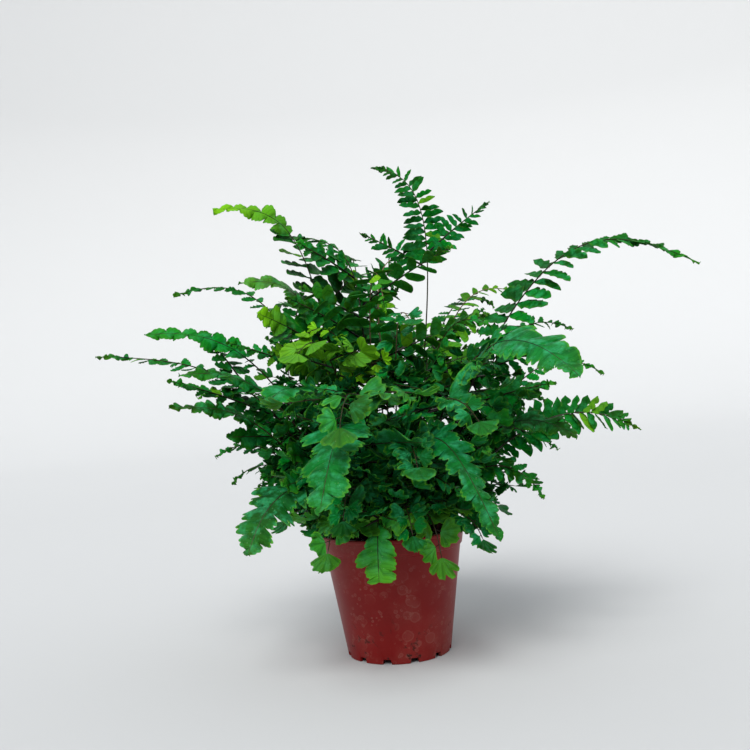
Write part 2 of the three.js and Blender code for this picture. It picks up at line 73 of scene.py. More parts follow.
# --- Fronds, as in the CAD ------------------------------------------------------------------------
# name, kind, foot (radius, azimuth), rise, tip, droop, stalk share, half-width, pairs, roll, more
FRONDS = [
    # right side
    ("right_arching", "feather", (9, 5), 66, (132, -5, 149), 28, 0.4, 12, 20, 50,
     {"pull": (0.88, 0.3), "arms": [(-0.2, 50, 0.4)]}),
    ("right_behind", "feather", (13, 20), 60, (86, 30, 127), 25, 0.48, 8, 14, 40, {}),
    ("right_light", "feather", (9, 40), 74, (63, 25, 144), 22, 0.55, 7, 12, 40, {}),
    ("right_light_low", "feather", (12, 60), 70, (48, 42, 128), 25, 0.55, 8, 12, 20, {}),
    ("right_inner", "feather", (6, -20), 76, (44, -24, 128), 35, 0.52, 9, 10, 35, {}),
    ("right_broad", "lobed", (9, -42), 68, (66, -72, 108), 42, 0.62, 10, 8, 30, {"pull": (0.75, 0.4)}),
    ("right_slender", "feather", (14, -3), 58, (89, -10, 107), 38, 0.48, 6, 14, 45, {"arms": []}),
    ("right_feather", "feather", (15, -18), 52, (101, -14, 84), 36, 0.42, 9, 20, 65,
     {"pull": (0.55, 0.35), "arms": []}),
    ("right_under", "lobed", (12, -30), 58, (70, -42, 85), 36, 0.5, 8, 8, 25, {}),
    ("right_forked", "forked", (15, 8), 50, (73, 14, 76), 42, 0.45, 7, 10, 50, {}),
    ("right_hanging", "feather", (15, -46), 56, (58, -32, 62), 62, 0.4, 9, 9, 40,
     {"pull": (0.6, 0.5), "lean": -38, "arms": []}),
    ("right_low_back", "feather", (14, 35), 52, (76, 44, 94), 38, 0.45, 9, 14, 20, {}),
    ("right_rim", "fan", (16, 2), 52, (44, 4, 56), 55, 0.42, 8, 5, 20, {}),
    ("right_rim_back", "fan", (16, 48), 50, (37, 38, 53), 58, 0.42, 8, 5, 0, {}),
    # front
    ("front_right_long", "lobed", (11, -88), 66, (36, -70, 54), 70, 0.34, 7, 14, 45,
     {"pull": (0.95, 0.6), "out": -5, "arms": [(-0.1, -80, 0.75), (-0.04, 56, 0.5)]}),
    ("front_rounded", "fan", (6, -62), 74, (32, -70, 94), 45, 0.7, 9, 2, 10, {}),
    ("front_palmate", "fan", (8, -108), 74, (-15, -86, 96), 52, 0.72, 11, 2, 0, {}),
    ("front_broad", "lobed", (13, -112), 62, (-23, -91, 70), 68, 0.5, 11, 7, 0,
     {"pull": (0.8, 0.5), "out": -125}),
    ("front_left_broad", "lobed", (14, -140), 58, (-52, -52, 52), 66, 0.42, 11, 8, -15,
     {"pull": (0.65, 0.5)}),
    ("front_over_rim", "lobed", (15, -97), 54, (-6, -56, 40), 84, 0.62, 8, 4, 0, {"pull": (0.7, 0.6)}),
    ("front_rim_left", "fan", (16, -128), 50, (-24, -43, 50), 64, 0.5, 10, 2, 0, {"pull": (0.6, 0.5)}),
    ("front_rim_right", "fan", (16, -70), 52, (17, -46, 46), 76, 0.5, 10, 2, 0, {"pull": (0.65, 0.6)}),
    ("front_fan_left", "fan", (13, -122), 60, (-17, -60, 63), 62, 0.5, 9, 5, 0, {}),
    ("front_fan_middle", "fan", (13, -84), 58, (7, -52, 55), 66, 0.45, 8, 5, 0, {}),
    ("front_fan_right", "fan", (15, -52), 54, (33, -40, 50), 66, 0.42, 8, 6, 0, {}),
    ("front_dark_right", "lobed", (11, -58), 64, (30, -54, 70), 58, 0.5, 8, 6, 0, {}),
    ("front_middle", "fan", (9, -80), 68, (10, -66, 80), 55, 0.55, 9, 6, 0, {}),
    # middle
    ("top_forked", "forked", (8, 20), 81, (2, 15, 201), -8, 0.67, 9, 14, 85,
     {"pull": (0.66, 0.22), "lean": 10, "out": 172}),
    ("centre_arching", "feather", (3, -120), 86, (3, -44, 135), 62, 0.5, 10, 11, 0,
     {"pull": (0.95, 0.5), "lean": 200,
      "arms": [(-0.15, 60, 0.7), (0.0, -65, 0.8), (0.25, 55, 0.5), (0.4, -50, 0.6)]}),
    ("centre_behind", "feather", (6, 80), 84, (18, 22, 162), 10, 0.6, 7, 10, 60,
     {"arms": [(-0.3, 55, 0.6)]}),
    ("centre_fans", "fan", (5, -50), 80, (12, -40, 132), 35, 0.6, 8, 5, 0, {}),
    ("centre_young", "fan", (4, -170), 80, (-28, -30, 130), 25, 0.66, 6, 5, -15, {}),
    ("centre_bright", "fan", (8, -150), 74, (-30, -48, 122), 38, 0.76, 10, 2, -10, {}),
    ("centre_left", "lobed", (10, -128), 68, (-42, -54, 104), 45, 0.62, 9, 6, -10, {}),
    # left side
    ("left_tall", "feather", (7, 170), 79, (-64, 0, 185), 4, 0.46, 13, 17, -40,
     {"pull": (0.72, 0.3), "arms": [(-0.15, 50, 0.5), (0.0, -55, 0.5), (0.2, 60, 0.4)]}),
    ("left_upper", "lobed", (8, -178), 74, (-54, -12, 153), 8, 0.58, 8, 7, -30, {}),
    ("left_inner", "feather", (6, 110), 84, (-38, 12, 173), 0, 0.54, 10, 14, -35,
     {"pull": (0.75, 0.35),
      "arms": [(-0.2, 60, 0.7), (0.0, -60, 0.7), (0.2, 50, 0.6), (0.4, -50, 0.5)]}),
    ("left_behind", "feather", (9, 150), 70, (-87, 22, 153), 14, 0.46, 8, 16, -40, {"pull": (0.6, 0.4)}),
    ("left_lobed", "lobed", (12, 178), 66, (-96, 2, 136), 2, 0.42, 6, 12, -40, {}),
    ("left_long", "feather", (13, -170), 60, (-114, -8, 128), -4, 0.4, 9, 18, -45,
     {"pull": (0.5, 0.5), "arms": [(-0.1, 40, 0.5), (0.04, -30, 0.6), (0.22, 25, 0.45)]}),
    ("left_dark", "lobed", (12, -158), 62, (-77, -28, 118), 4, 0.42, 6, 12, -25, {}),
    ("left_low", "lobed", (14, -152), 54, (-80, -36, 106), 0, 0.4, 6, 13, -30, {}),
    ("left_narrow", "feather", (15, 172), 52, (-70, 0, 84), 32, 0.42, 8, 12, -40, {}),
    ("left_thin", "feather", (15, 155), 50, (-69, 32, 69), 45, 0.42, 7, 12, -30, {}),
    ("left_low_back", "feather", (13, 140), 58, (-84, 46, 108), 20, 0.45, 9, 15, -20, {}),
    ("left_rim", "fan", (16, -172), 52, (-42, -8, 57), 55, 0.42, 8, 5, -20, {}),
    ("left_rim_back", "fan", (16, 132), 50, (-36, 38, 52), 58, 0.42, 8, 5, 0, {}),
    # back
    ("back_right", "feather", (9, 65), 70, (58, 76, 142), 25, 0.46, 10, 16, 0, {}),
    ("back_tall", "feather", (6, 130), 80, (-12, 52, 163), 25, 0.5, 9, 14, 0, {}),
    ("back_middle", "feather", (10, 95), 68, (2, 100, 140), 28, 0.45, 10, 18, 0, {}),
    ("back_left", "feather", (10, 120), 70, (-52, 78, 146), 22, 0.46, 10, 16, 0, {}),
    ("back_low_right", "lobed", (14, 60), 56, (46, 72, 92), 42, 0.48, 9, 8, 0, {}),
    ("back_low_middle", "lobed", (14, 88), 56, (4, 86, 84), 48, 0.48, 10, 8, 0, {}),
    ("back_low_left", "lobed", (14, 118), 56, (-44, 68, 82), 48, 0.48, 9, 8, 0, {}),
    ("back_rim_right", "lobed", (16, 74), 54, (20, 50, 46), 72, 0.45, 8, 5, 0, {"pull": (0.65, 0.5)}),
    ("back_rim_left", "lobed", (16, 104), 54, (-16, 54, 44), 74, 0.45, 8, 5, 0, {"pull": (0.65, 0.5)}),
]
PULL = (0.6, 0.35)
# Side branches by kind: where on the blade they leave, below it if negative, how far they turn, and their
# size against the blade. Only forked fronds have them in the CAD. A frond's own arms replace its kind's.
ARMS = {
    "forked": [(-0.04, 55, 0.66), (0.08, -50, 0.66)],
    "feather": [(-0.1, 52, 0.5), (0.04, -48, 0.48), (0.22, 44, 0.36)],
    "lobed": [(-0.16, -58, 0.55), (-0.04, 56, 0.5)],
    "fan": [(-0.25, 70, 0.8), (-0.1, -65, 0.75)],
}
# How the leaflets of a frond are cut, where they aren't wavy.
CUT_GROUPS = {
    "rounded": ("centre_arching", "centre_behind", "right_light", "right_light_low"),
    "broad": ("left_tall",),
    "scalloped": ("left_lobed", "left_dark", "left_low", "right_under"),
    "slender": ("top_forked", "right_forked"),
    "draped": ("right_broad",),
    "obovate": ("front_over_rim", "back_rim_left", "back_rim_right"),
    "comb": ("right_feather",),
    "jagged": (
        "right_arching", "right_behind", "right_slender", "right_low_back", "right_hanging", "left_inner",
        "left_long", "left_behind", "left_narrow", "left_low_back", "back_middle", "back_right",
    ),
}
CUT = {name: cut for cut, names in CUT_GROUPS.items() for name in names}
# How fresh a frond's green is, from 0, deep and old, to 1, the yellow-green of a new one.
FRESH = {
    "centre_arching": 0.2,
    "centre_young": 1.0,
    "centre_bright": 0.7,
    "right_light": 0.5,
    "right_light_low": 0.4,
    "left_upper": 0.4,
    "left_tall": 0.1,
    "front_over_rim": 0.45,
    "front_rim_right": 0.4,
    "front_rim_left": 0.3,
    "front_palmate": 0.22,
    "front_rounded": 0.05,
    "right_forked": 0.15,
    "front_left_broad": 0.12,
}
# How level the leaflets of a frond lie, where it is more than the steepness of the rib makes them.
LEVEL = {"right_arching": 0.75, "left_long": 0.5, "left_behind": 0.5, "left_tall": 0.5, "top_forked": 0.6}
# Stalks that turn straw-coloured towards the tip rather than stay brown.
BROWNING = {"centre_arching": 2.2, "centre_fans": 1.8, "centre_behind": 1.9, "right_light": 1.6}

UP = np.array([0.0, 0.0, 1.0])


# --- Vector helpers -------------------------------------------------------------------------------
def unit(vector):
    return vector / np.linalg.norm(vector)


def outward(azimuth):
    angle = math.radians(azimuth)
    return np.array([math.cos(angle), math.sin(angle), 0.0])


def aimed(azimuth, level):
    """The direction at an azimuth, and at a level above the horizon."""
    angle = math.radians(level)
    return outward(azimuth) * math.cos(angle) + UP * math.sin(angle)


def azimuth_of(vector):
    return math.degrees(math.atan2(vector[1], vector[0]))


def turned(vector, axis, degrees):
    """vector turned about a unit axis."""
    angle = math.radians(degrees)
    return (
        vector * math.cos(angle)
        + np.cross(axis, vector) * math.sin(angle)
        + axis * np.dot(axis, vector) * (1 - math.cos(angle))
    )


def smooth(low, high, x):
    t = np.clip((x - low) / (high - low), 0, 1)
    return t * t * (3 - 2 * t)


# --- Ribs -----------------------------------------------------------------------------------------
class Strand:
    """A rib with its blade: a Bezier curve measured by its length, and the blade's facing along it."""

    SAMPLES = 80

    def __init__(self, controls, azimuth, roll, stalk, half, pairs, level=0.0, browning=1.0):
        self.azimuth = azimuth
        self.roll = roll
        self.stalk = stalk
        self.half = half
        self.pairs = pairs
        self.level = level
        self.browning = browning
        steps = np.linspace(0, 1, self.SAMPLES + 1)[:, None]
        if len(controls) == 4:
            a, b, c, d = controls
            rest = 1 - steps
            self.points = a * rest**3 + 3 * b * rest**2 * steps + 3 * c * rest * steps**2 + d * steps**3
        else:
            a, b, c = controls
            rest = 1 - steps
            self.points = a * rest**2 + 2 * b * rest * steps + c * steps**2
        lengths = np.linalg.norm(np.diff(self.points, axis=0), axis=1)
        self.length = float(lengths.sum())
        self.shares = np.concatenate([[0], np.cumsum(lengths)]) / self.length

    def on_blade(self, u):
        """The share of the whole rib at a share u of the blade."""
        return self.stalk + u * (1 - self.stalk)

    def point(self, t):
        return np.array([np.interp(t, self.shares, self.points[:, k]) for k in range(3)])

    def along(self, t):
        """The rib's direction, taken over a short step."""
        step = 0.01
        low = min(max(t - step, 0), 1 - 2 * step)
        return unit(self.point(low + 2 * step) - self.point(low))

    def frame(self, t):
        """Place, rib direction, and the blade's sideways and upward directions."""
        along = self.along(t)
        across = outward(self.azimuth - 90)
        across = unit(across - along * np.dot(across, along))
        across = turned(across, along, self.roll)
        return self.point(t), along, across, np.cross(across, along)


def crown_height(radius):
    """Height of the crown's top at a radius."""
    share = radius / (CROWN["radius"] + 0.01)
    return SOIL["middle"] + GAP + CROWN["height"] * math.sqrt(max(0, 1 - share**2))


def rib_controls(foot_place, rise, tip, droop, more):
    """The Bezier points of a rib that rises from the crown and droops at its tip."""
    radius, azimuth = foot_place
    foot = outward(azimuth) * radius
    foot[2] = crown_height(radius) - 0.6
    tip = np.array(tip, float)
    chord = tip - foot
    pull = more.get("pull", PULL)
    span = np.linalg.norm(chord)
    start = aimed(more.get("lean", azimuth_of(chord)), rise)
    end = aimed(more.get("out", azimuth_of(chord)), -droop)
    return [foot, foot + start * pull[0] * span, tip - end * pull[1] * span, tip]


def roll_to(over, heading):
    """The roll that turns a level blade along heading until its face looks along over."""
    level = unit(np.cross(outward(azimuth_of(heading) - 90), heading))
    turn = np.dot(np.cross(level, over), heading)
    return math.degrees(math.atan2(turn, np.dot(level, over)))


def strands_of(row):
    """The main rib and its side branches."""
    name, kind, foot, rise, tip, droop, stalk, half, pairs, roll, more = row
    controls = rib_controls(foot, rise, tip, droop, more)
    azimuth = more.get("out", azimuth_of(controls[3] - controls[0]))
    browning = BROWNING.get(name, 1.0)
    main = Strand(controls, azimuth, roll, stalk, half, pairs, LEVEL.get(name, 0.0), browning)
    strands = [main]
    spacing = main.length * (1 - stalk) / pairs
    for share, degrees, size in more.get("arms", ARMS[kind]):
        at, along, across, over = main.frame(main.on_blade(share))
        length = main.length * (1 - stalk) * size
        turn = math.radians(degrees)
        heading = along * math.cos(turn) + across * math.sin(turn)
        end = at + heading * length - UP * ARM["sag"] * length
        middle = at + heading * length / 2
        branch_pairs = max(3, round(length * ARM["crowding"] / spacing))
        branch_half = half * ARM["forked_width" if kind == "forked" else "width"]
        roll_there = roll_to(over, heading)
        path = [at, middle, end]
        branch_azimuth = azimuth_of(heading)
        arm = Strand(path, branch_azimuth, roll_there, ARM["stalk"], branch_half, branch_pairs, main.level)
        strands.append(arm)
    return strands


# --- Meshes ---------------------------------------------------------------------------------------
LEAF, STALK = 0, 1  # which material a face has


def linked(name, data):
    """A new object in the scene."""
    made = bpy.data.objects.new(name, data)
    bpy.context.scene.collection.objects.link(made)
    return made


class Growth:
    """Collects closed sheets and tubes, in mm, and makes one mesh object of them."""

    def __init__(self):
        self.points = []
        self.faces = []
        self.caps = []
        self.uvs = []
        self.tints = []
        self.indices = []
        self.cap_indices = []
        self.count = 0

    def _add(self, points, faces, uvs, tints, index):
        self.points.append(points)
        self.faces.append(np.asarray(faces) + self.count)
        self.uvs.append(uvs)
        self.tints.append(tints)
        self.indices.append(np.full(len(faces), index))
        self.count += len(points)

    def sheet(self, grid, thickness, uv, tint, edge):
        """A closed thin sheet over a grid of points.

        uv and edge have the grid's shape, and edge runs from 0 inside to 1 at the margin. tint is a chance
        value and how young the leaf is, for the material.
        """
        rows, columns = grid.shape[:2]
        normal = np.cross(np.gradient(grid, axis=0), np.gradient(grid, axis=1))
        normal /= np.linalg.norm(normal, axis=2, keepdims=True) + 1e-12
        half = (thickness / 2 * (1 - 0.6 * edge))[..., None]
        top = (grid + normal * half).reshape(-1, 3)
        bottom = (grid - normal * half).reshape(-1, 3)
        number = np.arange(rows * columns).reshape(rows, columns)
        a, b = number[:-1, :-1].ravel(), number[1:, :-1].ravel()
        c, d = number[1:, 1:].ravel(), number[:-1, 1:].ravel()
        lower = rows * columns
        upper_faces = np.stack([a, b, c, d], 1)
        lower_faces = np.stack([d, c, b, a], 1) + lower
        loop = np.concatenate([number[:, 0], number[-1, 1:], number[-2::-1, -1], number[0, -2:0:-1]])
        after = np.roll(loop, -1)
        rim = np.stack([after, loop, loop + lower, after + lower], 1)
        tints = np.empty((2 * lower, 4))
        tints[:, 0] = tint[0]
        tints[:, 1] = np.tile(np.broadcast_to(tint[1], edge.shape).ravel(), 2)
        tints[:, 2] = np.tile(edge.ravel(), 2)
        tints[:lower, 3] = 1
        tints[lower:, 3] = 0
        uvs = np.tile(uv.reshape(-1, 2), (2, 1))
        faces = np.concatenate([upper_faces, lower_faces, rim])
        self._add(np.concatenate([top, bottom]), faces, uvs, tints, LEAF)

    def tube(self, path, radii, sides=6, index=STALK, browning=1.0):
        """A closed round rod along a path, which turns from black to brown along it, and on to straw."""
        path = np.asarray(path)
        along = np.gradient(path, axis=0)
        along /= np.linalg.norm(along, axis=1, keepdims=True)
        side = np.cross(along[0], UP if abs(along[0][2]) < 0.9 else outward(0))
        rings = []
        for place, heading, radius in zip(path, along, radii):
            side = unit(side - heading * np.dot(side, heading))
            other = np.cross(heading, side)
            angles = np.arange(sides) * 2 * math.pi / sides
            ring = np.outer(np.cos(angles), side) + np.outer(np.sin(angles), other)
            rings.append(place + radius * ring)
        count = len(path)
        number = np.arange(count * sides).reshape(count, sides)
        following = np.roll(number, -1, axis=1)
        faces = np.stack(
            [number[:-1].ravel(), following[:-1].ravel(), following[1:].ravel(), number[1:].ravel()], 1
        )
        self.caps.append(list(number[0][::-1] + self.count))
        self.caps.append(list(number[-1] + self.count))
        self.cap_indices += [index, index]
        uvs = [np.repeat(np.linspace(0, 1, count), sides), np.tile(np.arange(sides) / sides, count)]
        tints = np.tile(np.array([0.5, 0.0, 0.0, 1.0]), (count * sides, 1))
        tints[:, 2] = np.repeat(np.linspace(0, browning, count), sides)
        self._add(np.concatenate(rings), faces, np.stack(uvs, 1), tints, index)

    def make(self, name, materials):
        """The mesh object, in metres, of all that has grown."""
        points = np.concatenate(self.points) * MM
        quads = np.concatenate(self.faces)
        mesh = bpy.data.meshes.new(name)
        mesh.from_pydata(points.tolist(), [], quads.tolist() + self.caps)
        for material in materials:
            mesh.materials.append(material)
        indices = np.concatenate([*self.indices, np.array(self.cap_indices)]).astype(np.int32)
        mesh.polygons.foreach_set("material_index", indices)
        corners = np.empty(len(mesh.loops), np.int32)
        mesh.loops.foreach_get("vertex_index", corners)
        layer = mesh.uv_layers.new(name="leaf")
        layer.data.foreach_set("uv", np.concatenate(self.uvs)[corners].astype(np.float32).ravel())
        tint = mesh.color_attributes.new(name="tint", type="FLOAT_COLOR", domain="POINT")
        tint.data.foreach_set("color", np.concatenate(self.tints).astype(np.float32).ravel())
        mesh.shade_smooth()
        mesh.set_sharp_from_angle(angle=math.radians(50))
        mesh.update()
        return linked(name, mesh)


# --- Leaflets -------------------------------------------------------------------------------------
def place_grid(flat, at, along, across, over):
    """Points (x, y, z) in a leaf's own frame, set in the plant's frame."""
    return at + flat[..., :1] * along + flat[..., 1:2] * across + flat[..., 2:3] * over


# Separate leaflets: their angle from the rib at its foot and how much it closes by its tip, how far their
# faces turn outwards, and the share of them that have turned yellow.
LEAFLET = {"angle": 78, "closing": 48, "facing": 0.3, "shortest": 2.0, "yellow": 0.02}
LEVEL_CUTS = ("jagged", "slender")  # cuts whose leaflets turn less towards the sky
FAN = {"angle": 68, "facing": 0.8, "lift": 0.3, "foot": 0.25}
# A blade that has run together: how uneven its lobes are, the depth of its teeth against that of its lobes,
# its lobes' slant, and how far it waves, tilts each lobe, curls and droops.
STRAP = {
    "uneven": 0.2, "teeth": 0.32, "slant": (14, 26), "wave": 0.9, "tilt": 2.2, "curl": 0.5, "droop": 0.022,
}
MIDRIB = {"foot": 0.26, "tip": 0.08, "steps": 24}

# How leaflets are cut: width against length, depth of the lobes, how far the end is drawn out, number of
# lobes, the share of the blade above which they run together, and how much fresher the tip is.
Cut = namedtuple("Cut", "width lobing tail lobes joined tip")
CUTS = {
    "rounded": Cut((0.44, 0.56), (0.0, 0.08), 0.0, (3, 3), 0.93, 0.3),
    "jagged": Cut((0.48, 0.62), (0.28, 0.45), 0.4, (3, 5), 0.86, 0.2),
    "slender": Cut((0.3, 0.4), (0.3, 0.45), 0.3, (2, 3), 0.9, 0.1),
    "comb": Cut((0.38, 0.48), (0.4, 0.6), 0.1, (2, 3), 0.9, 0.4),
    "wavy": Cut((0.44, 0.56), (0.2, 0.36), 0.25, (3, 4), 0.82, 0.2),
    "scalloped": Cut((0.5, 0.6), (0.2, 0.36), 0.1, (2, 4), 0.8, 0.3),
    "draped": Cut((0.5, 0.6), (0.2, 0.36), 0.1, (2, 4), 0.8, 0.2),
    "obovate": Cut((0.5, 0.6), (0.2, 0.3), 0.0, (3, 4), 0.7, 0.2),
    "broad": Cut((0.5, 0.64), (0.15, 0.3), 0.1, (3, 4), 0.62, 0.8),
}
# How deeply the left and right margins of a lobed blade are cut.
EVEN_DEPTH = (0.55, 0.55)
DEPTHS = {"obovate": (0.34, 0.34), "draped": (0.1, 0.6)}
# The share of a lobed blade above which its leaflets run together.
LOBED_JOINED = 0.2
LOBED_JOINS = {"scalloped": 0.42, "obovate": 0.05}


def cut_leaflet(growth, at, heading, forward, over, length, cut, fresh, rng):
    """One leaflet: a nearly straight lower margin, a lobed upper one and a round or drawn-out end."""
    x = 1 - (1 - np.linspace(0, 1, 15)) ** 1.4
    lobes = rng.randint(*cut.lobes)
    lobing = rng.uniform(*cut.lobing)
    opening = np.clip((x + 0.02) / 0.24, 0, 1) ** 0.7
    round_end = np.sqrt(np.clip(1 - (np.clip(x - 0.58, 0, 1) / 0.425) ** 2, 0, 1))
    long_end = 1 - np.clip((x - 0.3) / 0.72, 0, 1) ** 1.3
    closing = round_end * (1 - cut.tail) + long_end * cut.tail
    scallop = np.abs(np.sin(math.pi * (lobes * x + rng.uniform(-0.2, 0.2)))) ** 0.7
    body = opening * closing * rng.uniform(*cut.width)
    upper = body * (1 - lobing * (1 - scallop)) * 0.8
    lower = -body * 0.2 * (1 - 0.8 * lobing * np.cos(2 * math.pi * (lobes - 1) * x))
    bend = rng.uniform(-0.08, 0.14) * x**2
    v = np.linspace(0, 1, 3)
    y = lower[:, None] * (1 - v) + upper[:, None] * v
    middle = (lower + upper)[:, None] / 2
    z = -rng.uniform(0.0, 0.25) * x[:, None] ** 2 - rng.uniform(-1.1, 1.6) * (y - middle) ** 2
    z = z + rng.uniform(-0.3, 0.3) * x[:, None] * (y - middle)
    z = z + 0.06 * lobing * np.cos(2 * math.pi * lobes * x)[:, None] * v
    flat = np.stack([np.broadcast_to(x[:, None], y.shape), y + bend[:, None], z], 2) * length
    edge = np.maximum(np.abs(2 * v - 1) ** 3, x[:, None] ** 8)
    uv = np.stack(np.broadcast_arrays(3 * x[:, None], v), 2)
    grid = place_grid(flat, at, heading, forward, over)
    growth.sheet(grid, LEAF_THICKNESS, uv, (rng.random(), fresh), edge)


def fan_leaflet(growth, at, heading, forward, over, radius, fresh, rng):
    """One fan-shaped leaflet on a short stalklet, cut into toothed lobes round its outer edge."""
    steps, rows = 29, 4
    spread = math.radians(rng.uniform(58, 80))
    share = np.linspace(-1, 1, steps)
    angle = spread * share
    lobes = rng.choice([3, 4, 4, 5])
    lobing = rng.uniform(0.16, 0.42)
    place = lobes * (share + 1) / 2
    scallop = np.abs(np.sin(math.pi * place)) ** 0.5
    teeth = 0.045 * np.cos(2 * math.pi * 3 * place)
    reach = (1 - 0.2 * share**2) * (1 - lobing * (1 - scallop)) + teeth * (1 - share**2)
    r = np.linspace(0, 1, rows) ** 0.8
    distance = reach[:, None] * (0.06 + 0.94 * r)
    x = distance * np.cos(angle)[:, None]
    y = distance * np.sin(angle)[:, None]
    cup = rng.uniform(-0.3, 0.45)
    ripple = 0.06 * np.cos(2 * math.pi * place)[:, None] * r**2
    z = -rng.uniform(0.05, 0.35) * x**2 - cup * y**2 + rng.uniform(-0.2, 0.2) * x * y + ripple
    flat = np.stack([x, y, z], 2) * radius
    edge = np.broadcast_to(np.maximum(r**4, np.abs(share[:, None]) ** 8), x.shape)
    uv = np.stack(np.broadcast_arrays(place[:, None], r), 2)
    start = at + heading * FAN["foot"] * radius
    grid = place_grid(flat, start, heading, forward, over)
    # The fan's angle runs along the first axis, so its order is turned to keep the face looking along over.
    growth.sheet(grid[::-1], LEAF_THICKNESS, uv[::-1], (rng.random(), fresh), edge[::-1])
    stalklet = [at, at + heading * 0.14 * radius, start + heading * 0.1 * radius]
    growth.tube(stalklet, [0.17, 0.14, 0.1], sides=5)


def leaf_axes(strand, t, side, angle, lift, facing, rng):
    """A leaflet's place on the rib and its heading, forward and upward directions, at angle to the rib.

    lift turns its face from the blade's own towards the sky, and facing away from the plant's middle.
    """
    at, along, across, over = strand.frame(t)
    heading = across * side * math.sin(math.radians(angle)) + along * math.cos(math.radians(angle))
    heading[2] *= 1 - max(strand.level, 0.7 * abs(along[2]))
    heading = unit(unit(heading) - UP * rng.uniform(0.0, 0.24))
    face = unit(over * (1 - lift) + UP * lift + facing * outward(azimuth_of(at)))
    face = turned(face, heading, rng.gauss(0, 14))
    face = unit(face - heading * np.dot(face, heading))
    forward = np.cross(face, heading)
    if np.dot(forward, along) < 0:
        forward = -forward
    return at, heading, forward, np.cross(heading, forward)


def outline(foot, widening, fullness, roundness):
    """A blade's half-width against its widest, as a function of the share u along it."""

    def half_width(u):
        return min(1, foot + widening * u) * (1 - min(u, 1) ** fullness) ** roundness

    return half_width


feather_outline = outline(0.72, 2.0, 1.7, 0.75)
comb_outline = outline(0.8, 2.0, 3, 0.75)
lobed_outline = outline(0.66, 2.6, 2.8, 0.62)


def obovate_outline(u):
    """Widest well above its middle."""
    return (0.4 + 0.6 * smooth(0, 0.55, u)) * (1 - min(u, 1) ** 5) ** 0.5


def grow_leaflets(growth, strand, last, cut, fresh, rng):
    """Alternate leaflets on both sides of the rib, up to share last of the blade."""
    crowding = 1.35 if cut == "slender" else 1.0
    lift = 0.2 if cut in LEVEL_CUTS else 0.4
    total = round(2 * strand.pairs * crowding)
    shape = comb_outline if cut == "comb" else feather_outline
    for i in range(int(total * last)):
        u = (i + 0.4) / total
        side = 1 if i % 2 else -1
        length = max(LEAFLET["shortest"], strand.half * shape(u) * rng.uniform(1.0, 1.3))
        angle = rng.gauss(LEAFLET["angle"], 6) - LEAFLET["closing"] * u**1.5
        axes = leaf_axes(strand, strand.on_blade(u), side, angle, lift, LEAFLET["facing"], rng)
        turned_yellow = 0.6 if rng.random() < LEAFLET["yellow"] else 0
        leaf_fresh = min(1, fresh + 0.3 * u**3 + turned_yellow)
        cut_leaflet(growth, *axes, length, CUTS[cut], leaf_fresh, rng)


def grow_feather(growth, strand, fresh, rng, cut):
    """Separate leaflets that run together into a lobed end."""
    grow_stalk(growth, strand, foot_radius=0.5, tip_radius=0.16, steps=46)
    joined = CUTS[cut].joined
    grow_leaflets(growth, strand, joined, cut, fresh, rng)
    lobes = max(4, round(strand.pairs * (1 - joined)))
    shape = lobed_outline if cut == "broad" else feather_outline
    tip_fresh = fresh + CUTS[cut].tip
    grow_strap(growth, strand, joined - 0.02, 0.62, shape, lobes, tip_fresh, rng, EVEN_DEPTH)


def grow_lobed(growth, strand, fresh, rng, cut):
    """A broad blade cut into toothed lobes, with a few separate leaflets below it."""
    grow_stalk(growth, strand, foot_radius=0.5, tip_radius=0.2, steps=46)
    joined = LOBED_JOINS.get(cut, LOBED_JOINED)
    shape, breadth = (obovate_outline, 0.9) if cut == "obovate" else (lobed_outline, 1.12)
    grow_leaflets(growth, strand, joined, cut, fresh, rng)
    lobes = max(3, round(strand.pairs * (1 - joined)))
    grow_strap(growth, strand, joined, breadth, shape, lobes, fresh, rng, DEPTHS.get(cut, EVEN_DEPTH))


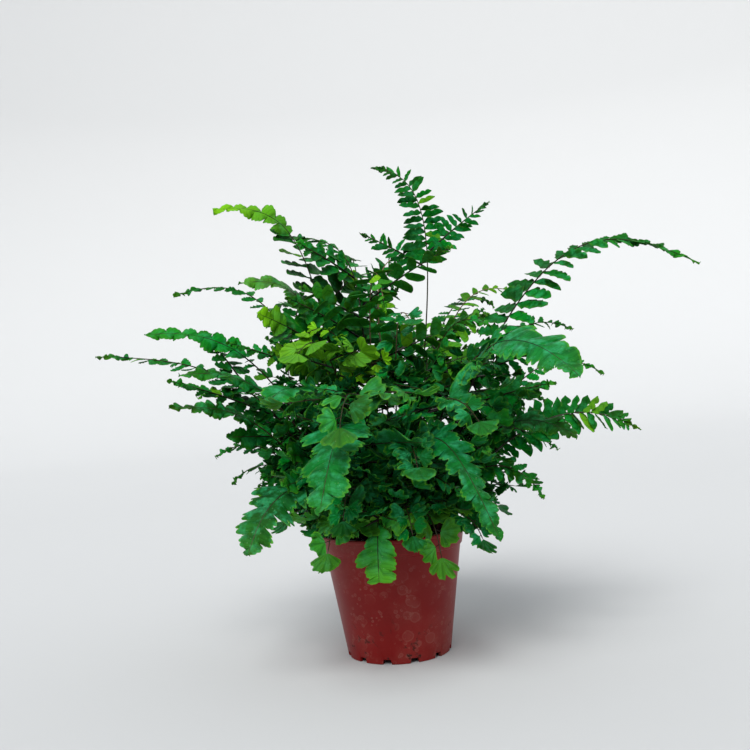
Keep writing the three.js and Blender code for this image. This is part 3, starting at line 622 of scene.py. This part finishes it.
def grow_strap(growth, strand, first, breadth, shape, lobes, fresh, rng, depth):
    """The blade above share first, where leaflets have run together: toothed lobes and a midrib."""
    per_lobe, rows = 18, 5
    columns = lobes * per_lobe + 1
    share = np.linspace(0, 1, columns)
    u = first + share * (1 - first)
    frames = [strand.frame(strand.on_blade(one)) for one in u]
    at, along, across, over = (np.array([f[k] for f in frames])[:, None, :] for k in range(4))
    slant = math.tan(math.radians(rng.uniform(*STRAP["slant"])))
    lobe_length = strand.length * (1 - strand.stalk) * (1 - first) / lobes
    tooth_count = max(1, round(lobe_length / TOOTH))
    v = np.linspace(0, 1, rows)
    sway, cutting = rng.uniform(0, 6), rng.uniform(0.85, 1.15)
    half = np.array([shape(min(0.995, one)) for one in u]) * breadth * strand.half
    half = half * np.clip(0.55 + share * 4, 0, 1)
    halves = []
    for side in (-1, 1):
        # The width: lobes of uneven size that alternate from side to side, with teeth along them.
        place = share * lobes + (0.45 if side > 0 else 0.0)
        lobe = place % 1
        size = 1 + STRAP["uneven"] * np.sin(np.floor(place) * 2.7 + sway + side)
        dome = (1 - np.abs(2 * lobe - 1) ** rng.uniform(2.4, 4.0)) ** 0.55
        teeth = np.abs(np.sin(math.pi * (tooth_count * lobe + 0.3))) ** 0.6
        cut_in = depth[side > 0] * cutting
        toothed = STRAP["teeth"] * cut_in * (1 - teeth)
        wide = np.maximum(half * size * (1 - cut_in + (cut_in - toothed) * dome), 0.25)
        away = wide[:, None] * v
        forward = away * slant
        # The relief: each lobe bulges and tilts, and the blade waves, droops and curls at its margin.
        relief = rng.uniform(0.7, 1.4) * np.sin(math.pi * lobe)[:, None] * v * (0.3 + away / 8)
        droop = -STRAP["droop"] * away**2
        wave = STRAP["wave"] * v * np.sin(share * 11 + sway + 2 * side)[:, None]
        curl = -STRAP["curl"] * v**6 * rng.uniform(0, 1)
        lobe_tilt = np.sin(np.floor(place) * 1.9 + sway)[:, None]
        tilt = STRAP["tilt"] * lobe_tilt * (lobe[:, None] - 0.5) * v
        rise = relief + droop + wave + curl + tilt
        spot = at + along * forward[..., None] + across * side * away[..., None]
        spot = spot + over * rise[..., None]
        halves.append((spot, np.broadcast_to(place[:, None], away.shape)))
    grid = np.concatenate([halves[0][0][:, :0:-1], halves[1][0]], axis=1)
    place = np.concatenate([halves[0][1][:, :0:-1], halves[1][1]], axis=1)
    sideways = np.concatenate([-v[:0:-1], v])
    edge = np.broadcast_to(np.abs(sideways) ** 5, grid.shape[:2])
    uv = np.stack(np.broadcast_arrays(place, (sideways + 1) / 2), 2)
    youth = fresh * (0.4 + 0.6 * share[:, None]) + 0.2 * share[:, None] ** 2
    youth = np.clip(youth + rng.uniform(0, 0.15) * sideways**2, 0, 1)
    tint = (rng.random(), youth[:, ::-1])
    growth.sheet(grid[:, ::-1], LEAF_THICKNESS * 1.1, uv[:, ::-1], tint, edge[:, ::-1])
    steps = MIDRIB["steps"]
    midrib = [strand.frame(strand.on_blade(one)) for one in np.linspace(first, 0.97, steps)]
    radii = np.linspace(MIDRIB["foot"], MIDRIB["tip"], steps)
    growth.tube([f[0] + f[3] * 0.1 for f in midrib], radii, sides=5, browning=0.0)


def grow_fan(growth, strand, fresh, rng, cut):
    """A few large fan-shaped leaflets, alternate, with one at the end."""
    grow_stalk(growth, strand, foot_radius=0.42, tip_radius=0.18, steps=30)
    total = 2 * strand.pairs
    for i in range(total):
        u = (i + 0.3) / total
        side = 1 if i % 2 else -1
        radius = strand.half * (0.95 - 0.35 * u) * rng.uniform(0.85, 1.12)
        angle = rng.gauss(FAN["angle"], 9)
        axes = leaf_axes(strand, strand.on_blade(u), side, angle, FAN["lift"], FAN["facing"], rng)
        fan_leaflet(growth, *axes, radius, fresh, rng)
    tip, along, across, over = strand.frame(0.97)
    fan_leaflet(growth, tip, along, across, np.cross(along, across), strand.half * 0.85, fresh + 0.1, rng)


def grow_sprays(growth, main, fresh, rng):
    """Short side shoots low on the stalk, each with a few fan-shaped leaflets: the plant's dark inside."""
    for _ in range(round(main.stalk * main.length / SPRAY["spacing"])):
        at = main.point(main.stalk * rng.uniform(0.2, 1.0))
        if not SPRAY["lowest"] < at[2] - POT_HEIGHT < SPRAY["highest"]:
            continue
        level = rng.uniform(-5, 40)
        heading = aimed(main.azimuth + rng.gauss(0, 60), level)
        length = rng.uniform(*SPRAY["length"])
        path = [at, at + heading * length * 0.6, at + heading * length - UP * SPRAY["sag"] * length]
        roll = rng.gauss(0, 25)
        half = rng.uniform(*SPRAY["half"])
        spray = Strand(path, azimuth_of(heading), roll, stalk=0.3, half=half, pairs=2)
        grow_fan(growth, spray, fresh, rng, None)


def grow_stalk(growth, strand, foot_radius, tip_radius, steps):
    """The stalk and rib."""
    shares = np.linspace(0, 0.995, steps)
    path = [strand.point(t) for t in shares]
    radii = foot_radius + (tip_radius - foot_radius) * shares**0.8
    growth.tube(path, radii, sides=7, browning=strand.browning)


# --- Materials ------------------------------------------------------------------------------------
def new_material(name):
    material = bpy.data.materials.new(name)
    material.use_nodes = True
    tree = material.node_tree
    tree.nodes.clear()
    return material, Nodes(tree)


class Nodes:
    """Short calls for making and joining shader nodes."""

    def __init__(self, tree):
        self.tree = tree

    def add(self, kind, inputs=(), **settings):
        node = self.tree.nodes.new(kind)
        for key, value in settings.items():
            setattr(node, key, value)
        for key, value in dict(inputs).items():
            self.feed(node.inputs[key], value)
        return node

    def feed(self, socket, value):
        if isinstance(value, bpy.types.NodeSocket):
            self.tree.links.new(value, socket)
        else:
            socket.default_value = value

    def math(self, operation, a, b=0.0, clamp=False):
        return self.add("ShaderNodeMath", {0: a, 1: b}, operation=operation, use_clamp=clamp).outputs[0]

    def times(self, a, b, clamp=False):
        return self.math("MULTIPLY", a, b, clamp)

    def plus(self, a, b, clamp=False):
        return self.math("ADD", a, b, clamp)

    def mix(self, share, a, b):
        node = self.add("ShaderNodeMix", data_type="RGBA")
        self.feed(node.inputs["Factor"], share)
        self.feed(node.inputs["A"], a)
        self.feed(node.inputs["B"], b)
        return node.outputs["Result"]

    def ramp(self, value, stops):
        node = self.add("ShaderNodeValToRGB", {"Fac": value})
        while len(node.color_ramp.elements) < len(stops):
            node.color_ramp.elements.new(0.5)
        for element, (position, shade) in zip(node.color_ramp.elements, stops):
            element.position = position
            element.color = (shade, shade, shade, 1)
        return node.outputs["Color"]

    def noise(self, scale, detail, place, roughness=0.5):
        inputs = {"Scale": scale, "Detail": detail, "Roughness": roughness, "Vector": place}
        return self.add("ShaderNodeTexNoise", inputs).outputs["Fac"]

    def place(self):
        return self.add("ShaderNodeTexCoord").outputs["Object"]

    def cells(self, scale, place):
        """Distance from the nearest of many scattered points."""
        return self.add("ShaderNodeTexVoronoi", {"Vector": place, "Scale": scale}).outputs["Distance"]

    def bump(self, height, strength, distance):
        inputs = {"Height": height, "Strength": strength, "Distance": distance}
        return self.add("ShaderNodeBump", inputs).outputs["Normal"]

    def surface(self, colour, rough, specular, **more):
        """A principled surface; more names other sockets, with _ for a space."""
        inputs = {"Base Color": colour, "Roughness": rough, "Specular IOR Level": specular}
        for key, value in more.items():
            inputs[key.replace("_", " ")] = value
        return self.add("ShaderNodeBsdfPrincipled", inputs).outputs[0]

    def finish(self, shader):
        self.add("ShaderNodeOutputMaterial", {"Surface": shader})


def leaf_material(name, deep, light, fresh, painted_sheen, slant, gloss, rimmed):
    """Leaf green that varies from leaflet to leaflet, with veins and painted shade beside them, patches,
    painted sheen, pale teeth, painted shade on the underside and light through it.

    The mesh's tint holds a chance value, how young the leaf is, nearness to the margin, and 1 on its face.
    """
    material, n = new_material(name)
    tint = n.add("ShaderNodeAttribute", attribute_name="tint")
    parts = n.add("ShaderNodeSeparateColor", {"Color": tint.outputs["Color"]})
    chance, young, edge = parts.outputs["Red"], parts.outputs["Green"], parts.outputs["Blue"]
    young = n.math("POWER", young, 1.4)
    upper = tint.outputs["Alpha"]
    place = n.place()
    cloud = n.noise(140, 3, place)
    patch = n.noise(520, 3, place, 0.6)

    # Each leaflet's own green, with patches of painted sheen, a pale bluish painted highlight kept off
    # young leaves, and the yellow-green of young leaves.
    share = n.plus(n.times(chance, 0.5), n.times(cloud, 0.75))
    green = n.mix(n.ramp(share, [(0.35, 0), (0.95, 1)]), deep, light)
    # Painted sheen: pale bluish patches painted into the green as a highlight.
    painted_sheen_mask = n.times(n.ramp(n.noise(230, 3, place, 0.6), [(0.47, 0), (0.68, 1)]), 0.8)
    green = n.mix(n.times(painted_sheen_mask, n.math("SUBTRACT", 1.0, young), True), green, painted_sheen)
    green = n.mix(n.times(young, n.plus(0.5, n.times(cloud, 0.9)), True), green, fresh)

    # Slanting veins, four fine ones to each main one. Their darker green is partly the veins' own colour
    # and partly painted shade in the creases along the main ones.
    uv = n.add("ShaderNodeUVMap", uv_map="leaf").outputs["UV"]
    split = n.add("ShaderNodeSeparateXYZ", {"Vector": uv})
    off_middle = n.math("ABSOLUTE", n.math("SUBTRACT", split.outputs["Y"], 0.5))
    line = n.plus(split.outputs["X"], n.times(off_middle, slant))
    line = n.plus(line, n.times(n.noise(300, 2, place), 0.25))
    main_vein_and_crease_shade = n.ramp(n.math("PINGPONG", line, 0.5), [(0.36, 0), (0.5, 1)])
    fine_vein = n.ramp(n.math("PINGPONG", n.times(line, 4.0), 0.5), [(0.34, 0), (0.5, 1)])
    veins_and_crease_shade = n.plus(n.times(main_vein_and_crease_shade, 0.6), n.times(fine_vein, 0.35), True)
    vein_and_crease_shade_green = tuple(c * 0.6 for c in deep[:3]) + (1,)
    # Veins' own darker green, and painted shade in the creases beside the main veins.
    green = n.mix(n.times(veins_and_crease_shade, 0.8), green, vein_and_crease_shade_green)

    # Pale margins and specks, and painted shade on the underside, which is darkened where a real one would
    # be paler.
    margin = n.times(n.ramp(edge, [(0.55, 0), (1.0, 1)]), n.ramp(patch, [(0.4, 0.1), (0.7, 1)]))
    green = n.mix(n.times(margin, rimmed), green, fresh)
    dots = n.ramp(n.cells(1100, place), [(0.10, 1), (0.22, 0)])
    speck = n.times(dots, n.ramp(patch, [(0.52, 0), (0.62, 1)]))
    green = n.mix(n.times(speck, rimmed * 0.7), green, (0.34, 0.52, 0.26, 1))
    painted_shade_underside = n.mix(0.35, green, (0.01, 0.07, 0.012, 1))
    green = n.mix(upper, painted_shade_underside, green)

    normal = n.bump(n.plus(n.times(veins_and_crease_shade, -0.7), n.times(patch, 0.9)), 0.6, 0.00018)
    rough = n.plus(0.38, n.times(patch, 0.2))
    body = n.surface(green, rough, 1.3 * gloss, Normal=normal, Specular_Tint=(0.12, 1.0, 0.5, 1))
    glow = n.add("ShaderNodeBsdfTranslucent", {"Color": n.mix(0.4, green, light), "Normal": normal})
    n.finish(n.add("ShaderNodeMixShader", {0: 0.12, 1: body, 2: glow.outputs[0]}).outputs[0])
    return material


def stalk_material():
    """Nearly black at the foot, then brown, and straw-coloured where the mesh's tint goes on past that."""
    material, n = new_material("wiry stalk")
    tint = n.add("ShaderNodeAttribute", attribute_name="tint")
    parts = n.add("ShaderNodeSeparateColor", {"Color": tint.outputs["Color"]})
    share = n.plus(parts.outputs["Blue"], n.times(n.noise(300, 2, n.place()), 0.3))
    brown = n.ramp(share, [(0.35, 0), (1.0, 1)])
    colour = n.mix(brown, (0.004, 0.0025, 0.002, 1), (0.030, 0.026, 0.008, 1))
    straw = n.ramp(n.times(share, 0.5), [(0.6, 0), (0.8, 1)])
    colour = n.mix(straw, colour, (0.20, 0.13, 0.075, 1))
    n.finish(n.surface(colour, 0.4, 0.2))
    return material


def pot_material():
    """Brownish red moulded plastic with dried water rings, pale speckle and a little soil."""
    material, n = new_material("pot plastic")
    place = n.place()
    base = n.mix(n.noise(60, 4, place), (0.17, 0.0035, 0.003, 1), (0.25, 0.007, 0.006, 1))

    # Large and small water rings, each with a faint film inside it.
    rings = 0.0
    for scale, strength in ((150.0, 0.45), (430.0, 0.7)):
        spot = n.plus(n.cells(scale, place), n.times(n.noise(scale * 3, 2, place), 0.14))
        line = n.ramp(spot, [(0.34, 0), (0.40, 1), (0.44, 0)])
        inside = n.ramp(spot, [(0.36, 0.35), (0.4, 0)])
        here = n.ramp(n.noise(scale / 2.6, 3, place), [(0.47, 0), (0.6, 1)])
        rings = n.plus(rings, n.times(n.plus(line, inside), n.times(here, strength)))
    film = n.ramp(n.noise(38, 6, place, 0.65), [(0.46, 0), (0.75, 1)])
    speck = n.times(n.ramp(n.cells(900, place), [(0.06, 1), (0.16, 0)]), film)
    chalk = n.plus(n.times(rings, 0.32), n.times(film, 0.1), True)
    chalk = n.plus(chalk, n.times(speck, 0.5), True)
    base = n.mix(chalk, base, (0.42, 0.25, 0.2, 1))

    # Soil splashed on the lower half.
    height = n.add("ShaderNodeSeparateXYZ", {"Vector": place}).outputs["Z"]
    low = n.ramp(n.times(height, 1 / (POT_HEIGHT * MM)), [(0.0, 1), (0.45, 0)])
    grime = n.times(n.ramp(n.noise(260, 5, place, 0.7), [(0.6, 0), (0.63, 1)]), low)
    base = n.mix(grime, base, (0.02, 0.011, 0.008, 1))

    rough = n.plus(0.4, n.times(n.plus(chalk, grime), 0.4))
    relief = n.plus(grime, n.times(n.noise(700, 3, place), 0.12))
    n.finish(n.surface(base, rough, 0.2, Normal=n.bump(relief, 0.5, 0.0002)))
    return material


def earth_material(name, dark, light):
    """Crumbly organic matter: dark grains with paler fibres."""
    material, n = new_material(name)
    place = n.place()
    grain = n.noise(900, 5, place, 0.7)
    colour = n.mix(n.ramp(grain, [(0.35, 0), (0.7, 1)]), dark, light)
    waves = {"Vector": place, "Scale": 160.0, "Distortion": 14.0, "Detail": 3.0}
    fibre = n.ramp(n.add("ShaderNodeTexWave", waves).outputs["Fac"], [(0.9, 0), (1.0, 1)])
    fibre_colour = tuple(min(1, c * 3) for c in light[:3]) + (1,)
    colour = n.mix(n.times(fibre, 0.5), colour, fibre_colour)
    n.finish(n.surface(colour, 0.95, 0.5, Normal=n.bump(grain, 0.9, 0.0006)))
    return material


# --- Pot ------------------------------------------------------------------------------------------
def wall(height):
    """The pot's outer radius at a height below its band."""
    slope = (RIM_RADIUS - LIP - BAND["step"] - FOOT_RADIUS) / POT_HEIGHT
    return FOOT_RADIUS + slope * height


def pot_profile():
    """(radius, height) from the middle of the underside, up the outside, over the lip and down inside."""
    band_bottom = POT_HEIGHT - BAND["height"]
    floor_top = FOOT_HEIGHT + WALL
    channel = FOOT_RADIUS - FOOT_RING
    outside = [(0, 0), (BOSS_RADIUS - 0.4, 0), (BOSS_RADIUS + 0.1, 0.25)]
    outside += [(BOSS_RADIUS + 1.3, FOOT_HEIGHT - 0.3), (BOSS_RADIUS + 1.7, FOOT_HEIGHT)]
    outside += [(channel - 0.3, FOOT_HEIGHT), (channel, FOOT_HEIGHT - 0.3)]
    outside += [(channel + 0.3, 0.2), (channel + 0.5, 0)]
    outside += [(FOOT_RADIUS - 0.25, 0), (FOOT_RADIUS + 0.05, 0.25)]
    outside += [(wall(h), h) for h in np.linspace(1.2, band_bottom - 0.1, 12)]
    step = BAND["step"]
    under = wall(band_bottom)
    outside += [(under + 0.12, band_bottom), (under + step - 0.1, band_bottom + 0.15)]
    outside += [(under + step, band_bottom + 0.35)]
    outside += [(wall(h) + step, h) for h in np.linspace(band_bottom + 1.5, POT_HEIGHT - 1.6, 4)]
    outside += [(RIM_RADIUS - 0.12, POT_HEIGHT - 1.35), (RIM_RADIUS, POT_HEIGHT - 1.1)]
    corner = 0.45
    outside += [(RIM_RADIUS - corner + corner * math.cos(a), POT_HEIGHT - corner + corner * math.sin(a))
                for a in np.linspace(0, math.pi / 2, 5)]
    inner_rim = RIM_RADIUS - LIP - WALL
    inside = [(inner_rim + 0.3, POT_HEIGHT), (inner_rim + 0.05, POT_HEIGHT - 0.2)]
    inside += [(wall(h) + step - WALL, h) for h in np.linspace(POT_HEIGHT - 1.6, band_bottom + 0.6, 4)]
    inside += [(wall(h) - WALL, h) for h in np.linspace(band_bottom - 0.2, floor_top + 0.4, 8)]
    inside += [(wall(floor_top) - WALL - 0.5, floor_top), (BOSS_RADIUS + 1, floor_top)]
    inside += [(BOSS_RADIUS - 0.5, WALL), (0, WALL)]
    return outside + inside


def revolved(name, profile, columns, shape, material):
    """A closed solid of revolution. shape moves a ring point (radius, height) by its angle."""
    points = []
    faces = []
    body = profile[1:-1]
    for k in range(columns):
        angle = 2 * math.pi * k / columns
        for radius, height in body:
            radius, height = shape(radius, height, angle)
            points.append((radius * math.cos(angle) * MM, radius * math.sin(angle) * MM, height * MM))
    count = len(body)
    low = len(points)
    points.append((0, 0, profile[0][1] * MM))
    points.append((0, 0, profile[-1][1] * MM))
    for k in range(columns):
        here = k * count
        there = ((k + 1) % columns) * count
        for i in range(count - 1):
            faces.append((here + i, there + i, there + i + 1, here + i + 1))
        faces.append((low, there, here))
        faces.append((low + 1, here + count - 1, there + count - 1))
    mesh = bpy.data.meshes.new(name)
    mesh.from_pydata(points, [], faces)
    mesh.materials.append(material)
    mesh.shade_smooth()
    mesh.set_sharp_from_angle(angle=math.radians(38))
    return linked(name, mesh)


def notched(radius, height, angle):
    """Lifts the foot ring where it is notched."""
    spacing = 2 * math.pi / NOTCHES["count"]
    away = abs((angle % spacing) - spacing / 2) * FOOT_RADIUS
    in_ring = radius > BOSS_RADIUS + 6 and height < NOTCHES["height"]
    if in_ring and away < NOTCHES["width"] / 2:
        return radius, NOTCHES["height"] + 0.06 * height
    return radius, height


def drill(piece):
    """Cuts the drain holes through the raised floor."""
    for k in range(DRAINS["count"]):
        centre = outward((k + 0.5) / DRAINS["count"] * 360) * DRAINS["circle"] * MM
        place = (centre[0], centre[1], FOOT_HEIGHT * MM)
        bpy.ops.mesh.primitive_cylinder_add(
            vertices=40, radius=DRAINS["radius"] * MM, depth=10 * MM, location=place
        )
        cutter = bpy.context.object
        cut = piece.modifiers.new("drain", "BOOLEAN")
        cut.operation = "DIFFERENCE"
        cut.solver = "EXACT"
        cut.object = cutter
        bpy.context.view_layer.update()
        evaluated = piece.evaluated_get(bpy.context.evaluated_depsgraph_get())
        done = bpy.data.meshes.new_from_object(evaluated)
        piece.modifiers.remove(cut)
        piece.data = done
        bpy.data.objects.remove(cutter)


def make_pot():
    piece = revolved("nursery_pot", pot_profile(), 360, notched, pot_material())
    drill(piece)
    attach(piece, "root")
    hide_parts("pot")


# --- Soil and crown -------------------------------------------------------------------------------
def make_soil():
    """Peat with a lumpy top."""
    floor = FOOT_HEIGHT + WALL + GAP
    shoulder = POT_HEIGHT - BAND["height"] - 1
    side = wall(shoulder) - WALL - GAP
    top = 26  # radius of the lumpy top
    mound = SOIL["middle"] - SOIL["edge"]
    profile = [(0, floor), (wall(floor) - WALL - GAP, floor), (side, shoulder), (side, SOIL["edge"] - 0.6)]
    profile += [(r, SOIL["edge"] + mound * (1 - r / top)) for r in np.linspace(top, 0, 60)]

    def lumpy(radius, height, angle):
        if height < SOIL["edge"] - 0.1:
            return radius, height
        spot = Vector((radius * math.cos(angle), radius * math.sin(angle), 3.7))
        lumps = noise.noise(spot * 0.45) * 0.9 + noise.noise(spot * 1.3) * 0.5
        lumps += noise.noise(spot * 3.1) * 0.25
        return radius, height - 0.3 + lumps * min(1, (top + 0.2 - radius) / 1.5 + 0.4)

    peat = earth_material("peat", (0.008, 0.005, 0.003, 1), (0.045, 0.026, 0.014, 1))
    piece = revolved("peat", profile, 220, lumpy, peat)
    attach(piece, "root")
    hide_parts("soil")


def make_crown():
    """A fibrous mound, shaggy with small brown scales."""
    radius = CROWN["radius"]
    profile = [(0, SOIL["middle"] - 0.5)]
    profile += [(r, crown_height(r) - 0.7) for r in radius * np.cos(np.linspace(0, math.pi / 2, 30))]
    profile[-1] = (0, crown_height(0) - 0.7)

    def shaggy(radius, height, angle):
        spot = Vector((radius * math.cos(angle), radius * math.sin(angle), height))
        lumps = noise.noise(spot * 0.5) + noise.noise(spot * 1.6) * 0.5
        return radius * (1 + 0.04 * lumps), height + 0.7 * lumps

    growth = Growth()
    rng = random.Random(7)
    for _ in range(CROWN["scales"]):
        out = radius * math.sqrt(rng.random()) * 0.98
        around = rng.uniform(0, 360)
        foot = outward(around) * out
        foot[2] = crown_height(out) - 1.2
        lean = unit(outward(rng.uniform(0, 360)) * 0.8 + UP * rng.uniform(0.5, 1.5))
        length = rng.uniform(1.5, 3.4)
        bend = outward(rng.uniform(0, 360)) * 0.4
        path = [foot + lean * length * s + bend * s * s for s in (0, 0.35, 0.7, 1)]
        growth.tube(path, [0.28, 0.24, 0.14, 0.03], sides=4, index=LEAF)
    scaly = earth_material("crown scales", (0.012, 0.006, 0.003, 1), (0.07, 0.034, 0.014, 1))
    scales = growth.make("crown_scales", [scaly])
    mound = revolved("crown_mound", profile, 90, shaggy, scaly)
    for piece in (mound, scales):
        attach(piece, "root")
        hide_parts("crown")


# --- Fronds ---------------------------------------------------------------------------------------
GROW = {"feather": grow_feather, "forked": grow_feather, "lobed": grow_lobed, "fan": grow_fan}


# deep, light and fresh greens, and the green of the painted sheen; the veins' slant; the gloss; and how
# pale the margin is
LEAF_LOOKS = {
    "feather": (
        (0.0003, 0.034, 0.0014, 1), (0.0012, 0.25, 0.019, 1), (0.22, 0.58, 0.008, 1),
        (0.02, 0.31, 0.085, 1), 1.2, 0.06, 0.25,
    ),
    "lobed": (
        (0.0004, 0.044, 0.006, 1), (0.002, 0.25, 0.036, 1), (0.17, 0.52, 0.008, 1),
        (0.035, 0.38, 0.16, 1), 0.5, 0.16, 0.7,
    ),
    "fan": (
        (0.0004, 0.040, 0.003, 1), (0.0016, 0.27, 0.032, 1), (0.22, 0.60, 0.010, 1),
        (0.035, 0.40, 0.16, 1), 0.0, 0.12, 0.6,
    ),
}


def make_fronds():
    """Each frond is one piece: its stalk and blade, its side branches, and low sprays on its stalk."""
    stalk = stalk_material()
    leaves = {kind: leaf_material(f"{kind} leaf", *look) for kind, look in LEAF_LOOKS.items()}
    leaves["forked"] = leaves["feather"]
    for row in FRONDS:
        name, kind = row[:2]
        rng = random.Random(name)
        growth = Growth()
        main, *branches = strands_of(row)
        fresh, cut = FRESH.get(name, 0.03), CUT.get(name, "wavy")
        GROW[kind](growth, main, fresh, rng, cut)
        for k, branch in enumerate(branches):
            # A lobed frond's first branch is lobed too, and its others are feathery.
            grow_branch = GROW[kind] if kind != "lobed" or k == 0 else grow_feather
            grow_branch(growth, branch, fresh, rng, cut)
        grow_sprays(growth, main, 0.02, rng)
        leaf = leaves["feather"] if cut == "scalloped" else leaves[kind]
        piece = growth.make(f"fern_{name}", [leaf, stalk])
        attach(piece, "root")
        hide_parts(f"frond_{name}")


# --- Stage, light and camera ----------------------------------------------------------------------
CAMERA = {"place": (-2.4, -400, 113), "focal": 46.8, "sensor": 36, "roll": -4}
DAYLIGHT = {"strength": 2.7, "spread": 35, "tilt": (38, -14, 0), "colour": (1.0, 0.99, 0.965)}
SKY = {"strength": 0.74, "colour": (0.90, 0.93, 0.96, 1)}


def unmoved(radius, height, angle):
    return radius, height


def make_stage():
    """A wide pale bowl: a flat floor that turns up into a low wall all round."""
    floor_radius, bend, wall_top = 1200, 900, 1500
    profile = [(0, 0), (200, 0), (600, 0), (floor_radius, 0)]
    for angle in np.linspace(0.1, 1.45, 14):
        profile += [(floor_radius + bend * math.sin(angle), bend * (1 - math.cos(angle)))]
    rim = profile[-1][0]
    profile += [(rim + 60, wall_top), (rim + 80, wall_top), (rim + 80, -20), (0, -20)]
    material, n = new_material("studio paper")
    height = n.add("ShaderNodeSeparateXYZ", {"Vector": n.place()}).outputs["Z"]
    # Painted light: the paper is painted lighter up the wall, standing in for brighter light there.
    paper_with_painted_light = n.mix(n.ramp(height, [(0.0, 0), (0.7, 1)]), (0.57, 0.58, 0.59, 1), (0.65, 0.655, 0.66, 1))
    paper_with_painted_light = n.mix(n.times(n.noise(3.0, 2, n.place()), 0.15), paper_with_painted_light, (0.66, 0.67, 0.69, 1))
    n.finish(n.surface(paper_with_painted_light, 0.9, 0.1))
    bowl = revolved("studio_bowl", profile[::-1], 96, unmoved, material)


def make_lights():
    """Daylight: a broad soft sun from high at the front left, and an even pale sky."""
    light = bpy.data.lights.new("daylight", "SUN")
    light.energy = DAYLIGHT["strength"]
    light.angle = math.radians(DAYLIGHT["spread"])
    light.color = DAYLIGHT["colour"]
    lamp = linked("daylight", light)
    lamp.rotation_euler = [math.radians(angle) for angle in DAYLIGHT["tilt"]]
    world = bpy.data.worlds.new("room")
    world.use_nodes = True
    background = world.node_tree.nodes["Background"]
    background.inputs["Color"].default_value = SKY["colour"]
    background.inputs["Strength"].default_value = SKY["strength"]
    bpy.context.scene.world = world


def set_colours():
    """Plain display colours, so greens stay as deep as they are set."""
    bpy.context.scene.view_settings.view_transform = "Standard"


def make_camera():
    data = bpy.data.cameras.new("camera")
    data.sensor_width = CAMERA["sensor"]
    data.lens = CAMERA["focal"]
    data.clip_start = 0.01
    camera = linked("camera", data)
    upright = Matrix.Rotation(math.pi / 2, 4, "X")
    roll = Matrix.Rotation(math.radians(CAMERA["roll"]), 4, "Z")
    camera.matrix_world = Matrix.Translation(Vector(CAMERA["place"]) * MM) @ upright @ roll
    bpy.context.scene.camera = camera


set_colours()
make_camera()
make_pot()
make_soil()
make_crown()
make_fronds()
make_stage()
make_lights()

bpy.context.view_layer.update()
